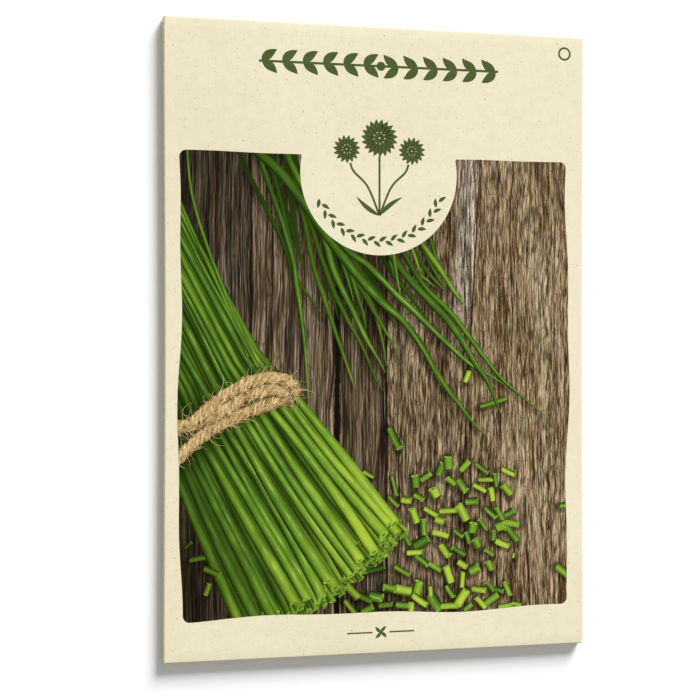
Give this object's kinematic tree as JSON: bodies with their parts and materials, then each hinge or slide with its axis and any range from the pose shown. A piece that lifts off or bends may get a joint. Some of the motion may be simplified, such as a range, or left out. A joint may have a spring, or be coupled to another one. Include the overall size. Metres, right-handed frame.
{
  "type": "seed packet",
  "caption": "Flat folded paper packet of chive seeds with a lapped back seam and glued end flaps, lying on its back with the printed front up.",
  "frame": {"origin": "under the middle of the packet, on the surface that its back rests on", "axes": "+X to the packet's right as its front is read, +Y to the top of its front, +Z out of its front"},
  "size_m": [0.08, 0.115, 0.0023],
  "materials": {
    "grass_paper": "matte",
    "dried_glue": "satin",
    "seed_coat": "matte"
  },
  "bodies": {
    "root": {"packet_sheet": "grass_paper", "seam_glue": "dried_glue", "bottom_glue": "dried_glue", "top_glue": "dried_glue", "seed_01": "seed_coat", "seed_02": "seed_coat", "seed_03": "seed_coat", "seed_04": "seed_coat", "seed_05": "seed_coat", "seed_06": "seed_coat", "seed_07": "seed_coat", "seed_08": "seed_coat", "seed_09": "seed_coat", "seed_10": "seed_coat", "seed_11": "seed_coat", "seed_12": "seed_coat", "seed_13": "seed_coat", "seed_14": "seed_coat", "seed_15": "seed_coat", "seed_16": "seed_coat", "seed_17": "seed_coat", "seed_18": "seed_coat", "seed_19": "seed_coat", "seed_20": "seed_coat", "seed_21": "seed_coat", "seed_22": "seed_coat", "seed_23": "seed_coat", "seed_24": "seed_coat", "seed_25": "seed_coat", "seed_26": "seed_coat", "seed_27": "seed_coat", "seed_28": "seed_coat", "seed_29": "seed_coat", "seed_30": "seed_coat", "seed_31": "seed_coat", "seed_32": "seed_coat", "seed_33": "seed_coat", "seed_34": "seed_coat", "seed_35": "seed_coat", "seed_36": "seed_coat", "seed_37": "seed_coat", "seed_38": "seed_coat", "seed_39": "seed_coat", "seed_40": "seed_coat"}
  },
  "joints": []
}
